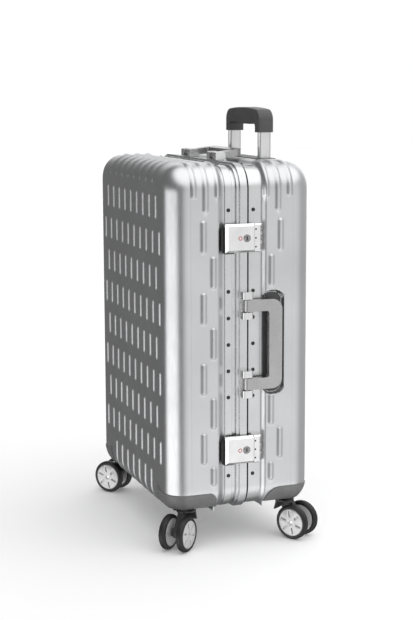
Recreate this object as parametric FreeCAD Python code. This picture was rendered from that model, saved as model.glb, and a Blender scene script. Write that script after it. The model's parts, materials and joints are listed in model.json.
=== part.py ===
"""Hard shell suitcase with an aluminium frame, two frame locks, two bail handles,
a telescopic trolley and four twin-wheel spinner casters.

Frame of reference, in millimetres: +Z up, the floor at z = 0.
+X is the narrow side with the locks and the side handle, -X the hinge side.
-Y is the front broad face (the lid), +Y the back broad face (the trolley half).
"""

import FreeCAD, Part

import math
import os

from FreeCAD import Vector

# ---- driving dimensions -------------------------------------------------------------
CASE_WIDTH = 422.0            # along X, panel to panel
CASE_DEPTH = 264.0            # along Y, panel to panel
CASE_BOTTOM = 61.0            # underside of the shell above the floor
CASE_TOP = 667.0              # top panel above the floor
OUTLINE_RADIUS = 45.0         # corner radius of the outline seen from the front
EDGE_RADIUS = 36.0            # rounding between the broad faces and the sides
SHELL_WALL = 2.0

SEAM_Y = 9.5                  # parting plane of the lid frame
GASKET_WIDTH = 2.0
LID_STEP_OUTER_Y = -46.0      # the lid panel starts to step down here
LID_STEP_INNER_Y = -31.0
BASE_STEP_INNER_Y = 35.5      # the base panel steps up between these two
BASE_STEP_OUTER_Y = 45.5
STRIP_INSET = 4.0             # riveted strips lie this far below the panels
SHEET = 1.6                   # wall of the frame extrusions
GROOVE_Y = (-17.0, -9.5)      # groove between the lid strip and the lip
BEAD_Y = -4.0                 # the lid bead runs from here to the seam

MID_Z = 358.0                 # middle of the side handle and of the rivet rows
LOCK_OFFSET = 184.0           # locks sit this far above and below MID_Z
RIVET_LID_Y = -23.7
RIVET_BASE_Y = 21.5
RIVET_SHANK = 1.6

HINGE_AXIS_X = -CASE_WIDTH / 2 - 4.6
HINGE_AXIS_Y = SEAM_Y + 1.0
HINGE_LENGTH = 56.0

HANDLE_PIN_OUT = 8.0          # pin axis above the panel
HANDLE_PIN_Y = 6.0
PIN_RADIUS = 2.0
RUNNING_GAP = 0.06

LUG_OUTER = (79.3, 92.0)      # along the handle, from its middle
LUG_INNER = (45.0, 56.7)
ARM = (58.0, 78.0)
SIDE_BAIL = (69.0, 24.0, 0.0)  # outer Y, width of the bar, lift of the bar
TOP_BAIL = (56.0, 17.0, 5.0)
BAIL_THICKNESS = 11.6
POCKET_DEPTH = 9.0            # hand pockets under the bails
SIDE_POCKET = (78.0, 91.0)    # far Y, half length
TOP_POCKET = (64.0, 74.0)

LOCK_LOW_Y = -33.5
LOCK_SPLIT_Y = 18.5
LOCK_HIGH_Y = 36.0
LOCK_HALF_HEIGHT = 24.5
LOCK_FACE = 11.0              # face of the lock above the panel
LATCH_UNDER = 2.3
DIAL_AXIS = (3.4, 28.0)       # outward, Y
DIAL_RADIUS = 7.0
DIAL_PITCH = 15.0
KEY_Y = 4.5
KEY_RADIUS = 6.5

TROLLEY_Y = 97.0
TROLLEY_X = 72.5
TUBE_WIDE = 24.5              # trolley tube section along Y
TUBE_THIN = 10.5              # and along X
GRIP_BOTTOM = 714.0
GRIP_TOP = 758.0

CASTER_X = 182.0
CASTER_Y = 98.0
WELL_ROOF = 75.0              # roof of the four corner wells
GUARD_FLOOR = 71.0
WHEEL_RADIUS = 31.0
TYRE_WIDTH = 12.6
WHEEL_OFFSET = 16.7           # half the spacing of the twin wheels
TRAIL = 22.0
HUB_RADIUS = 24.6
AXLE_RADIUS = 3.0
# corner name: (sign of X, sign of Y, heading of the axle in degrees, side of the trail)
CASTERS = {
    "front_right": (1, -1, 43.0, -1),
    "front_left": (-1, -1, -50.0, -1),
    "back_right": (1, 1, -55.0, 1),
    "back_left": (-1, 1, 40.0, 1),
}

HALF_W = CASE_WIDTH / 2
HALF_D = CASE_DEPTH / 2
PARTS = {}


# ---- small helpers ------------------------------------------------------------------
def add(name, *solids):
    """File solids under one node name."""
    flat = []
    for item in solids:
        flat.extend(item.Solids)
    PARTS[name] = Part.makeCompound(flat) if len(flat) > 1 else flat[0]


def box(x0, x1, y0, y1, z0, z1):
    return Part.makeBox(x1 - x0, y1 - y0, z1 - z0, Vector(x0, y0, z0))


def rod(radius, start, end):
    direction = Vector(*end) - Vector(*start)
    return Part.makeCylinder(radius, direction.Length, Vector(*start), direction)


def fuse(shapes):
    shapes = list(shapes)
    whole = shapes[0].multiFuse(shapes[1:]) if len(shapes) > 1 else shapes[0]
    return whole.removeSplitter()


def edges_where(shape, test):
    return [edge for edge in shape.Edges if test(edge.BoundBox)]


def face_of(points):
    corners = [Vector(*point) for point in points]
    return Part.Face(Part.makePolygon(corners + [corners[0]]))


def outline(inset, y):
    """The case outline seen from the front, shrunk by inset, as a wire in the plane y."""
    x = HALF_W - inset
    low = CASE_BOTTOM + inset
    high = CASE_TOP - inset
    radius = OUTLINE_RADIUS - inset
    diagonal = radius * (1 - math.sqrt(0.5))
    edges = []
    corners = [(x, low, 1, 1), (x, high, 1, -1), (-x, high, -1, -1), (-x, low, -1, 1)]
    for index, (cx, cz, sx, sz) in enumerate(corners):
        on_side = Vector(cx, y, cz + sz * radius)
        on_level = Vector(cx - sx * radius, y, cz)
        middle = Vector(cx - sx * diagonal, y, cz + sz * diagonal)
        first, last = (on_level, on_side) if index % 2 == 0 else (on_side, on_level)
        edges.append(Part.Arc(first, middle, last).toShape())
    ends = [(edge.valueAt(edge.FirstParameter), edge.valueAt(edge.LastParameter)) for edge in edges]
    loop = []
    for index, edge in enumerate(edges):
        loop.append(edge)
        loop.append(Part.makeLine(ends[index][1], ends[(index + 1) % 4][0]))
    return Part.Wire(loop)


def slab(inset, y0, y1):
    return Part.Face(outline(inset, y0)).extrude(Vector(0, y1 - y0, 0))


def taper(inset0, y0, inset1, y1):
    return Part.makeLoft([outline(inset0, y0), outline(inset1, y1)], True, True)


def ring(inset0, inset1, y0, y1):
    return slab(inset0, y0, y1).cut(slab(inset1, y0 - 1, y1 + 1))


# ---- half shells --------------------------------------------------------------------
def half_body(inset, sign, broad_y, step_outer_y, step_inner_y, neck_y):
    """Solid of one half of the case, shrunk by inset: panel block, step and neck."""
    far = broad_y - sign * inset
    block = slab(inset, step_outer_y, far)
    rim = edges_where(block, lambda b: abs(b.YMin - far) < 0.01 and abs(b.YMax - far) < 0.01)
    block = block.makeFillet(EDGE_RADIUS - inset, rim)
    neck_inset = STRIP_INSET + SHEET + inset
    step = taper(inset, step_outer_y, neck_inset, step_inner_y)
    neck = slab(neck_inset, step_inner_y, neck_y)
    return fuse([block, step, neck])


def lid_body(inset, neck_y=GROOVE_Y[0] - 1.2):
    return half_body(inset, -1, -HALF_D, LID_STEP_OUTER_Y, LID_STEP_INNER_Y, neck_y)


def base_body(inset, neck_y=SEAM_Y + GASKET_WIDTH + 1.8):
    return half_body(inset, 1, HALF_D, BASE_STEP_OUTER_Y, BASE_STEP_INNER_Y, neck_y)


def wells(side_y, grow=0.0):
    """The two caster wells of one half, in the bottom corners."""
    found = []
    for side_x in (-1, 1):
        inner_x = CASTER_X - 45.0 - grow
        inner_y = CASTER_Y - 51.0 - grow
        block = box(inner_x, 300, inner_y, 300, 0, WELL_ROOF + grow)
        upright = edges_where(
            block, lambda b: abs(b.XMax - inner_x) < 0.01 and abs(b.YMax - inner_y) < 0.01
        )
        block = block.makeFillet(18.0 + grow, upright)
        if side_x < 0:
            block = block.mirror(Vector(), Vector(1, 0, 0))
        if side_y < 0:
            block = block.mirror(Vector(), Vector(0, 1, 0))
        found.append(block)
    return found


def to_side(shape):
    """Local frame (outward, Y, along) to the +X side, centred on the side handle."""
    moved = shape.copy()
    moved.translate(Vector(HALF_W, 0, MID_Z))
    return moved


def to_top(shape):
    """Local frame (outward, Y, along) to the top panel."""
    moved = shape.copy()
    moved.rotate(Vector(), Vector(0, 1, 0), -90)
    moved.translate(Vector(0, 0, CASE_TOP))
    return moved


def hand_pocket(y1, half_length, grow=0.0):
    """Recess under a bail, in the local frame of the handles."""
    depth = POCKET_DEPTH + grow
    y0 = BASE_STEP_INNER_Y + 3.0
    block = box(-depth, 40, y0 - grow, y1 + grow, -half_length - grow, half_length + grow)
    corners = edges_where(block, lambda b: b.XLength > 20 and b.YMin > y0 + 5)
    return block.makeFillet(17.0 + grow, corners)


def hand_pockets(grow=0.0):
    return [to_side(hand_pocket(*SIDE_POCKET, grow)), to_top(hand_pocket(*TOP_POCKET, grow))]


def skin(outer, inner, holes_outer, holes_inner):
    solid = outer.cut(holes_outer)
    hollow = inner.cut(holes_inner)
    return solid.cut(hollow).removeSplitter()


def rivet_places(y, inset, hinge_side_z):
    """(head point, outward direction) for every rivet of one frame."""
    places = []
    for z in (0.0, 46.0, -46.0, 92.0, -92.0, 231.0, -231.0):
        places.append((Vector(HALF_W - inset, y, MID_Z + z), Vector(1, 0, 0)))
    for z in hinge_side_z:
        places.append((Vector(inset - HALF_W, y, MID_Z + z), Vector(-1, 0, 0)))
    for x in (0.0, 104.0, -104.0, 152.0, -152.0):
        places.append((Vector(x, y, CASE_TOP - inset), Vector(0, 0, 1)))
        places.append((Vector(x, y, CASE_BOTTOM + inset), Vector(0, 0, -1)))
    return places


def rivets(places):
    solids = []
    head_radius = 3.0
    head_height = 1.7
    ball = (head_radius ** 2 + head_height ** 2) / (2 * head_height)
    for point, out in places:
        shank = Part.makeCylinder(RIVET_SHANK, 5.6, point - out * 5.6, out)
        sphere = Part.makeSphere(ball, point - out * (ball - head_height))
        head = sphere.common(Part.makeCylinder(head_radius, head_height + 1, point, out))
        tail = Part.makeCylinder(2.6, 0.8, point - out * 6.0, out)
        solids.append(fuse([shank, head, tail]))
    return solids


def rivet_holes(places):
    return [Part.makeCylinder(RIVET_SHANK, 12, point - out * 8, out) for point, out in places]


def half_shells():
    tube_holes = [tube_block(side * TROLLEY_X, 1.5, 600, 700) for side in (-1, 1)]
    lid_wells = wells(-1)
    base_wells = wells(1)
    front = skin(lid_body(0), lid_body(SHELL_WALL, GROOVE_Y[0]), lid_wells, wells(-1, SHELL_WALL))
    back = skin(
        base_body(0),
        base_body(SHELL_WALL, SEAM_Y + GASKET_WIDTH),
        base_wells + hand_pockets(),
        wells(1, SHELL_WALL) + hand_pockets(SHELL_WALL),
    )
    add("shell_front", front.cut(rivet_holes(LID_RIVETS)))
    add("shell_back", back.cut(rivet_holes(BASE_RIVETS) + tube_holes))


def frames():
    flange = STRIP_INSET + SHEET + SHELL_WALL
    strip_y = (LID_STEP_INNER_Y + 1.0, GROOVE_Y[0])
    bead = fuse([
        taper(3.0, BEAD_Y, 0.0, BEAD_Y + 3.0),
        slab(0.0, BEAD_Y + 3.0, SEAM_Y - 3.0),
        taper(0.0, SEAM_Y - 3.0, 3.0, SEAM_Y),
    ])
    bead = bead.cut(slab(flange, BEAD_Y - 1, SEAM_Y + 1))
    bead = bead.cut(ring(3.2, flange, BEAD_Y + SHEET, SEAM_Y - SHEET))
    lid = fuse([
        ring(STRIP_INSET, STRIP_INSET + SHEET, *strip_y),
        ring(STRIP_INSET, flange, GROOVE_Y[0] - 1.2, GROOVE_Y[0]),
        ring(flange, flange + SHEET, strip_y[0], SEAM_Y),
        ring(3.4, flange, GROOVE_Y[1], GROOVE_Y[1] + SHEET),
        ring(3.4, 3.4 + SHEET, GROOVE_Y[1], BEAD_Y + 0.6),
        bead,
    ])
    add("frame_front", lid.cut(rivet_holes(LID_RIVETS)))

    start = SEAM_Y + GASKET_WIDTH
    end = BASE_STEP_INNER_Y - 0.5
    base = fuse([
        ring(STRIP_INSET, STRIP_INSET + SHEET, start, end),
        ring(STRIP_INSET, flange, start, start + 1.8),
        ring(flange, flange + SHEET, start, end),
    ])
    add("frame_back", base.cut(rivet_holes(BASE_RIVETS)))
    add("frame_gasket", ring(3.4, 8.4, SEAM_Y, start))
    add("rivets_front", *rivets(LID_RIVETS))
    add("rivets_back", *rivets(BASE_RIVETS))


def hinges():
    """Three barrel hinges on the -X side, with their pins in the base leaves."""
    lid_leaves = []
    base_leaves = []
    axis = (HINGE_AXIS_X, HINGE_AXIS_Y)
    barrel = 4.0
    pin = 1.5
    knuckle = HINGE_LENGTH / 3
    plate_x = (-HALF_W - 2.2, -HALF_W - 0.2)
    strip_x = (-HALF_W, -HALF_W + STRIP_INSET)
    for offset in (-LOCK_OFFSET, 0.0, LOCK_OFFSET):
        low = MID_Z + offset - HINGE_LENGTH / 2
        high = low + HINGE_LENGTH
        inner = (low + knuckle + 0.15, high - knuckle - 0.15)
        lid_leaf = fuse([
            box(*plate_x, LID_STEP_INNER_Y + 2, HINGE_AXIS_Y - barrel - 0.6, low, high),
            box(*plate_x, HINGE_AXIS_Y - barrel - 1, HINGE_AXIS_Y, *inner),
            box(plate_x[0], strip_x[1], LID_STEP_INNER_Y + 2, GROOVE_Y[0] - 1, low, high),
            rod(barrel, (*axis, inner[0]), (*axis, inner[1])),
        ])
        pin_hole = rod(pin + RUNNING_GAP, (*axis, low), (*axis, high))
        lid_leaves.append(lid_leaf.cut(pin_hole))
        pieces = [
            box(*plate_x, HINGE_AXIS_Y + barrel + 0.6, BASE_STEP_INNER_Y - 1, low, high),
            box(plate_x[0], strip_x[1], BASE_STEP_INNER_Y - 12, BASE_STEP_INNER_Y - 1, low, high),
        ]
        for z0, z1 in ((low, low + knuckle), (high - knuckle, high)):
            pieces.append(rod(barrel, (*axis, z0), (*axis, z1)))
            pieces.append(box(*plate_x, HINGE_AXIS_Y, HINGE_AXIS_Y + barrel + 1, z0, z1))
        base_leaf = fuse(pieces)
        pin_rod = rod(pin, (*axis, low - 1), (*axis, high + 1))
        base_leaves.append(base_leaf.cut(pin_rod))
        base_leaves.append(pin_rod)
    add("hinge_leaves_front", *lid_leaves)
    add("hinge_leaves_back", *base_leaves)


# ---- locks --------------------------------------------------------------------------
def lock(name, z):
    def place(shape):
        moved = shape.copy()
        moved.translate(Vector(HALF_W, 0, z))
        return moved

    seat = -STRIP_INSET
    half = LOCK_HALF_HEIGHT
    profile = face_of([
        (seat, LOCK_SPLIT_Y, -half), (LOCK_FACE, LOCK_SPLIT_Y, -half), (LOCK_FACE, 28.5, -half),
        (8.8, 32.6, -half), (4.5, 35.2, -half), (1.0, LOCK_HIGH_Y, -half),
        (1.0, BASE_STEP_INNER_Y - 1, -half), (seat, BASE_STEP_INNER_Y - 1, -half),
    ])
    body = profile.extrude(Vector(0, 0, 2 * half))
    tall = edges_where(body, lambda b: b.XMin > LOCK_FACE - 0.1 and b.ZLength < 0.1)
    body = body.makeChamfer(2.0, tall)
    for step in (-1, 0, 1):
        middle = step * DIAL_PITCH
        window = rod(DIAL_RADIUS + 0.4, (*DIAL_AXIS, middle - 4.4), (*DIAL_AXIS, middle + 4.4))
        body = body.cut(window)
    axle = rod(1.5, (*DIAL_AXIS, -half + 2), (*DIAL_AXIS, half - 2))
    body = fuse([body, axle])
    tongue_seat = box(seat, 1.5, SEAM_Y + GASKET_WIDTH + 0.5, LOCK_SPLIT_Y, -half + 6, half - 6)
    add("lock_body_" + name, place(fuse([body, tongue_seat])))

    for step in (-1, 0, 1):
        middle = step * DIAL_PITCH
        dial = rod(DIAL_RADIUS, (*DIAL_AXIS, middle - 4.0), (*DIAL_AXIS, middle + 4.0))
        dial = dial.cut(rod(1.5 + RUNNING_GAP, (*DIAL_AXIS, middle - 5), (*DIAL_AXIS, middle + 5)))
        rims = edges_where(dial, lambda b: b.XLength > 10 and b.ZLength < 0.1)
        dial = dial.makeChamfer(0.8, rims)
        number = 2 - step
        add(f"dial_{name}_{number}", place(dial))

    cover = box(LATCH_UNDER, LOCK_FACE, LOCK_LOW_Y, LOCK_SPLIT_Y - 0.3, -half, half)
    bevel = edges_where(
        cover,
        lambda b: b.XMin > LOCK_FACE - 0.1 and not (b.YMin > LOCK_SPLIT_Y - 1),
    )
    cover = cover.makeChamfer(4.2, bevel)
    hollow = box(LATCH_UNDER - 1, 5.5, LOCK_LOW_Y + 4, LOCK_SPLIT_Y - 4, -half + 4, half - 4)
    cover = cover.cut(hollow)
    tongue = box(-2.5, 6.0, -10.5, -8.0, -9.0, 9.0)
    cover = fuse([cover, tongue])
    cover = cover.cut(rod(KEY_RADIUS + RUNNING_GAP, (5.0, KEY_Y, 0), (20, KEY_Y, 0)))
    add("latch_cover_" + name, place(cover))

    key = rod(KEY_RADIUS, (5.6, KEY_Y, 0), (LOCK_FACE + 0.9, KEY_Y, 0))
    lip = edges_where(key, lambda b: b.XMin > LOCK_FACE + 0.8)
    key = key.makeChamfer(0.6, lip)
    slot = box(LOCK_FACE - 2.5, 20, KEY_Y - 1.0, KEY_Y + 1.0, -3.4, 3.4)
    key = key.cut(slot)
    add("key_cylinder_" + name, place(key))

    foot = box(-STRIP_INSET, 0.4, LID_STEP_INNER_Y + 1.5, GROOVE_Y[0] - 0.5, -half + 2, half - 6)
    plate = box(0.4, 2.0, -39.0, -15.0, -half - 2.5, half - 5)
    rounded = edges_where(plate, lambda b: b.XLength > 1 and b.YMax < -38)
    plate = plate.makeFillet(9.0, rounded)
    return place(fuse([foot, plate]))


def locks():
    strikes = [lock("upper", MID_Z + LOCK_OFFSET), lock("lower", MID_Z - LOCK_OFFSET)]
    add("lock_strikes", *strikes)


# ---- bail handles -------------------------------------------------------------------
def bracket_pair():
    """Two brackets and their pins, in the local frame of the handles."""
    solids = []
    for side in (-1, 1):
        pieces = []
        for near, far in (LUG_OUTER, LUG_INNER):
            low, high = sorted((side * near, side * far))
            lug = box(0.5, 14.2, -3.0, 15.5, low, high)
            crown = edges_where(lug, lambda b: b.XMin > 14 and b.ZLength > 5)
            lug = lug.makeFillet(3.6, crown)
            pieces.append(lug)
        low, high = sorted((side * LUG_INNER[0], side * LUG_OUTER[1]))
        pieces.append(box(0.5, 1.7, -3.0, 17.0, low, high))
        pieces.append(box(-STRIP_INSET, 1.7, SEAM_Y + GASKET_WIDTH + 1, 17.0, low, high))
        pin_low, pin_high = sorted((side * (LUG_INNER[0] + 2), side * (LUG_OUTER[1] - 2)))
        pin = rod(PIN_RADIUS, (HANDLE_PIN_OUT, HANDLE_PIN_Y, pin_low),
                  (HANDLE_PIN_OUT, HANDLE_PIN_Y, pin_high))
        solids.append(fuse(pieces).cut(pin))
        solids.append(pin)
    return solids


def bail(outer_y, bar_width, bar_lift):
    """U-shaped handle folded flat towards +Y, in the local frame of the handles."""
    low = HANDLE_PIN_OUT - BAIL_THICKNESS / 2
    high = HANDLE_PIN_OUT + BAIL_THICKNESS / 2
    outer = box(low, high, HANDLE_PIN_Y, outer_y, -ARM[1], ARM[1])
    rounds = edges_where(outer, lambda b: b.XLength > 5 and b.YMin > outer_y - 1)
    outer = outer.makeFillet(18.0, rounds)
    inner_y = outer_y - bar_width
    gap = box(low - 1, high + 1, -50, inner_y, -ARM[0], ARM[0])
    corners = edges_where(gap, lambda b: b.XLength > 5 and b.YMin > inner_y - 1)
    gap = gap.makeFillet(5.0, corners)
    body = outer.cut(gap)
    if bar_lift:
        wedge = face_of([
            (low, outer_y + 1, -100), (low, 14.0, -100), (low + bar_lift, outer_y + 1, -100),
        ])
        body = body.cut(wedge.extrude(Vector(0, 0, 200)))
        crown = face_of([
            (high - 0.01, outer_y, -100), (high - 0.01, 14.0, -100), (high + bar_lift, outer_y, -100),
        ]).extrude(Vector(0, 0, 200))
        plan = outer.cut(gap)
        plan.translate(Vector(BAIL_THICKNESS - 0.01, 0, 0))
        body = fuse([body, plan.common(crown)])
    for side in (-1, 1):
        ends = sorted((side * ARM[0], side * ARM[1]))
        body = fuse([body, rod(BAIL_THICKNESS / 2, (HANDLE_PIN_OUT, HANDLE_PIN_Y, ends[0]),
                               (HANDLE_PIN_OUT, HANDLE_PIN_Y, ends[1]))])
    bore = rod(PIN_RADIUS + RUNNING_GAP, (HANDLE_PIN_OUT, HANDLE_PIN_Y, -100),
               (HANDLE_PIN_OUT, HANDLE_PIN_Y, 100))
    return body.cut(bore)


def handles():
    brackets = bracket_pair()
    add("handle_brackets", *[to_side(item) for item in brackets], *[to_top(item) for item in brackets])
    add("side_handle", to_side(bail(*SIDE_BAIL)))
    add("top_handle", to_top(bail(*TOP_BAIL)))


# ---- trolley ------------------------------------------------------------------------
def tube_block(x, grow, z0, z1):
    """Stadium section, long along Y, grown by grow on every side."""
    radius = TUBE_THIN / 2 + grow
    straight = TUBE_WIDE / 2 - TUBE_THIN / 2
    block = box(x - radius, x + radius, TROLLEY_Y - straight, TROLLEY_Y + straight, z0, z1)
    ends = [
        rod(radius, (x, TROLLEY_Y + side * straight, z0), (x, TROLLEY_Y + side * straight, z1))
        for side in (-1, 1)
    ]
    return fuse([block] + ends)


def trolley():
    outers = []
    inners = []
    foot_top = CASE_BOTTOM + 24
    cavity = base_body(SHELL_WALL)
    for side in (-1, 1):
        x = side * TROLLEY_X
        foot = tube_block(x, 3.0, CASE_BOTTOM, foot_top).common(cavity)
        sleeve = tube_block(x, 1.5, foot_top - 1, CASE_TOP + 0.6)
        outer = fuse([foot, sleeve]).cut(tube_block(x, 0.4, foot_top - 12, CASE_TOP + 5))
        outers.append(outer)
        inner = tube_block(x, 0.0, 144.0, GRIP_BOTTOM + 14).cut(tube_block(x, -1.4, 140, 800))
        inners.append(inner)
    add("trolley_outer_tubes", *outers)
    add("trolley_inner_tubes", *inners)

    bezel = box(-94, 94, TROLLEY_Y - 19, TROLLEY_Y + 17, CASE_TOP - 20, CASE_TOP + 1.2)
    rounds = edges_where(bezel, lambda b: b.ZLength > 5)
    bezel = bezel.makeFillet(12.0, rounds)
    bezel = bezel.cut(base_body(0))
    bezel = bezel.cut([tube_block(side * TROLLEY_X, 1.5, 600, 700) for side in (-1, 1)])
    add("trolley_bezel", bezel)

    half = TROLLEY_X + 9.0
    start_y = TROLLEY_Y - 14.5
    crown_z = GRIP_TOP - 5.0
    left = Vector(-half, start_y, GRIP_BOTTOM)
    right = Vector(half, start_y, GRIP_BOTTOM)
    high_left = Vector(-half, start_y, crown_z)
    high_right = Vector(half, start_y, crown_z)
    arch = Part.Arc(high_right, Vector(0, start_y, GRIP_TOP), high_left).toShape()
    wire = Part.Wire([
        Part.makeLine(left, right), Part.makeLine(right, high_right), arch,
        Part.makeLine(high_left, left),
    ])
    grip = Part.Face(wire).extrude(Vector(0, 29.0, 0))
    rounds = edges_where(
        grip, lambda b: b.YLength > 20 and b.ZMin > crown_z - 1 and abs(b.XMin) > half - 1
    )
    grip = grip.makeFillet(20.0, rounds)
    gap_x = TROLLEY_X - 11.0
    gap = box(-gap_x, gap_x, 0, 200, GRIP_BOTTOM - 10, GRIP_TOP - 28.0)
    rounds = edges_where(gap, lambda b: b.YLength > 20 and b.ZMin > GRIP_TOP - 30)
    gap = gap.makeFillet(8.0, rounds)
    grip = grip.cut(gap)
    soft = edges_where(grip, lambda b: b.YLength < 0.1 and b.ZMin > GRIP_BOTTOM + 0.5)
    grip = grip.makeFillet(3.0, soft)
    for side in (-1, 1):
        grip = grip.cut(tube_block(side * TROLLEY_X, 0.0, GRIP_BOTTOM - 5, GRIP_BOTTOM + 14))
    well_z = GRIP_TOP - 28.0
    grip = grip.cut(rounded_key(0.3, well_z - 5, well_z + 9))
    add("trolley_grip", grip)
    add("trolley_button", rounded_key(0.0, well_z - 2.5, well_z + 5.5))


def rounded_key(grow, z0, z1):
    """Stadium-shaped push button under the grip, long along X."""
    radius = 6.0 + grow
    block = box(-14, 14, TROLLEY_Y - radius, TROLLEY_Y + radius, z0, z1)
    ends = [rod(radius, (x, TROLLEY_Y, z0), (x, TROLLEY_Y, z1)) for x in (-14, 14)]
    return fuse([block] + ends)


# ---- corner guards and casters ------------------------------------------------------
def guard(name, side_x, side_y):
    """Moulded cap over one bottom corner, with the bore for the caster's king pin."""
    proud = 1.8
    body = lid_body if side_y < 0 else base_body
    upper = 99.0
    crest = 112.0 if side_y < 0 else CASE_BOTTOM + EDGE_RADIUS - 0.5
    broad = [(0, side_y * 112, upper), (0, side_y * 120, crest), (0, side_y * 200, crest)]
    side_view = [(0, -200, 0), (0, -46, 0), (0, -46, 88), (0, -50, 95), (0, -57, upper)] + broad
    if side_y > 0:
        side_view = [(0, 200, 0), (0, 46, 0), (0, 47, 78), (0, 52, 89), (0, 61, 96), (0, 72, upper)]
        side_view += broad
    front_view = [(138, 0, 0), (138, 0, 88), (143, 0, 106), (150, 0, 101), (164, 0, upper - 1),
                  (260, 0, upper), (260, 0, 0)]
    zone = face_of(side_view).extrude(Vector(300, 0, 0))
    across = face_of([(x, -200, z) for x, _, z in front_view]).extrude(Vector(0, 400, 0))
    zone = zone.common(across)
    zone = zone.cut(box(-300, 300, -300, 300, -10, GUARD_FLOOR))
    if side_x < 0:
        zone = zone.mirror(Vector(), Vector(1, 0, 0))
    inside = body(0).cut(wells(side_y))
    cap = body(-proud).common(zone).cut(inside)
    x = side_x * CASTER_X
    y = side_y * CASTER_Y
    cap = max(cap.Solids, key=lambda solid: solid.Volume)
    cap = cap.cut(rod(6.0 + RUNNING_GAP, (x, y, GUARD_FLOOR - 5), (x, y, WELL_ROOF + 5)))
    add("corner_guard_" + name, cap)


def wheel_profile(points):
    """Turn a section given as (radius, offset along the axle) into a solid about Z."""
    face = face_of([(radius, 0, offset) for radius, offset in points])
    return face.revolve(Vector(), Vector(0, 0, 1), 360)


def tyre_solid():
    half = TYRE_WIDTH / 2
    shoulder = 3.6
    inner = HUB_RADIUS
    outer = WHEEL_RADIUS
    diagonal = shoulder * (1 - math.sqrt(0.5))
    corners = [
        Vector(inner, 0, -half), Vector(outer - shoulder, 0, -half), Vector(outer, 0, -half + shoulder),
        Vector(outer, 0, half - shoulder), Vector(outer - shoulder, 0, half), Vector(inner, 0, half),
    ]
    low = Part.Arc(corners[1], Vector(outer - diagonal, 0, -half + diagonal), corners[2]).toShape()
    high = Part.Arc(corners[3], Vector(outer - diagonal, 0, half - diagonal), corners[4]).toShape()
    wire = Part.Wire([
        Part.makeLine(corners[0], corners[1]), low, Part.makeLine(corners[2], corners[3]), high,
        Part.makeLine(corners[4], corners[5]), Part.makeLine(corners[5], corners[0]),
    ])
    return Part.Face(wire).revolve(Vector(), Vector(0, 0, 1), 360)


def hub_solid():
    """Wheel centre with its outer face towards +Z and six radial slots."""
    half = TYRE_WIDTH / 2
    bore = AXLE_RADIUS + RUNNING_GAP
    hub = wheel_profile([
        (bore, -half + 0.6), (HUB_RADIUS, -half + 0.6), (HUB_RADIUS, half - 1.0),
        (HUB_RADIUS - 1.2, half - 0.4), (12.0, half + 0.3), (bore, half + 0.3),
    ])
    slots = []
    for step in range(6):
        slot = fuse([
            box(11.5, 19.5, -1.7, 1.7, half - 3.2, half + 2),
            rod(1.7, (11.5, 0, half - 3.2), (11.5, 0, half + 2)),
            rod(1.7, (19.5, 0, half - 3.2), (19.5, 0, half + 2)),
        ])
        slot.rotate(Vector(), Vector(0, 0, 1), 60 * step + 12)
        slots.append(slot)
    cap = rod(AXLE_RADIUS + 1.0, (0, 0, half - 1.6), (0, 0, half + 1))
    return hub.cut(slots + [cap])


def caster(name, side_x, side_y, heading, trail_side):
    """Fork, axle and twin wheels of one caster, swivelled to its heading at rest."""
    along = Vector(math.cos(math.radians(heading)), math.sin(math.radians(heading)), 0)
    behind = Vector(-along.y, along.x, 0) * (trail_side * TRAIL)
    swivel = Vector(side_x * CASTER_X, side_y * CASTER_Y, 0)
    centre = swivel + behind + Vector(0, 0, WHEEL_RADIUS)

    def place(shape):
        """Local frame: X along the axle, Y backwards along the trail, Z up, at the swivel."""
        moved = shape.copy()
        if trail_side < 0:
            moved.rotate(Vector(), Vector(0, 0, 1), 180)
        moved.rotate(Vector(), Vector(0, 0, 1), heading)
        moved.translate(swivel)
        return moved

    web_half = 4.6
    web = face_of([
        (-web_half, -10.0, 66.0), (-web_half, -11.5, 58.0), (-web_half, 8.0, 24.0),
        (-web_half, TRAIL + 8.5, 24.0), (-web_half, TRAIL + 9.5, 34.0), (-web_half, 11.0, 66.0),
    ]).extrude(Vector(2 * web_half, 0, 0))
    lip = 18.0
    fender = face_of([
        (-lip, -13.0, 66.5), (-lip, -13.0, 62.0), (-lip, -16.5, 49.0), (-lip, -14.5, 48.4),
        (-lip, -9.6, 62.2), (-lip, 6.0, 65.0), (-lip, 6.0, 66.5),
    ]).extrude(Vector(2 * lip, 0, 0))
    keep_out = rod(WHEEL_RADIUS + 1.2, (-40, TRAIL, WHEEL_RADIUS), (40, TRAIL, WHEEL_RADIUS))
    web_zone = box(-web_half, web_half, -60, 60, 0, 80)
    fender = fuse([fender.cut(keep_out), fender.common(web_zone)])
    fork = fuse([
        web,
        fender,
        rod(AXLE_RADIUS + 4.5, (-9.4, TRAIL, WHEEL_RADIUS), (9.4, TRAIL, WHEEL_RADIUS)),
        rod(12.5, (0, 0, 64.0), (0, 0, 66.5)),
        rod(9.5, (0, 0, 66.0), (0, 0, GUARD_FLOOR - 0.4)),
        rod(6.0, (0, 0, GUARD_FLOOR - 1), (0, 0, WELL_ROOF - 0.1)),
    ])
    axle_end = WHEEL_OFFSET + TYRE_WIDTH / 2 - 1.9
    axle = rod(AXLE_RADIUS, (-axle_end, TRAIL, WHEEL_RADIUS), (axle_end, TRAIL, WHEEL_RADIUS))
    add("caster_fork_" + name, place(fork.cut(axle)))
    add("caster_axle_" + name, place(axle))

    for letter, sign in (("a", 1), ("b", -1)):
        middle = centre + along * (sign * WHEEL_OFFSET)
        for node, shape in (("tyre", tyre_solid()), ("hub", hub_solid())):
            wheel = shape.copy()
            wheel.rotate(Vector(), Vector(0, 1, 0), 90)
            if sign < 0:
                wheel.rotate(Vector(), Vector(0, 0, 1), 180)
            wheel.rotate(Vector(), Vector(0, 0, 1), heading)
            wheel.translate(middle)
            add(f"{node}_{name}_{letter}", wheel)


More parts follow.
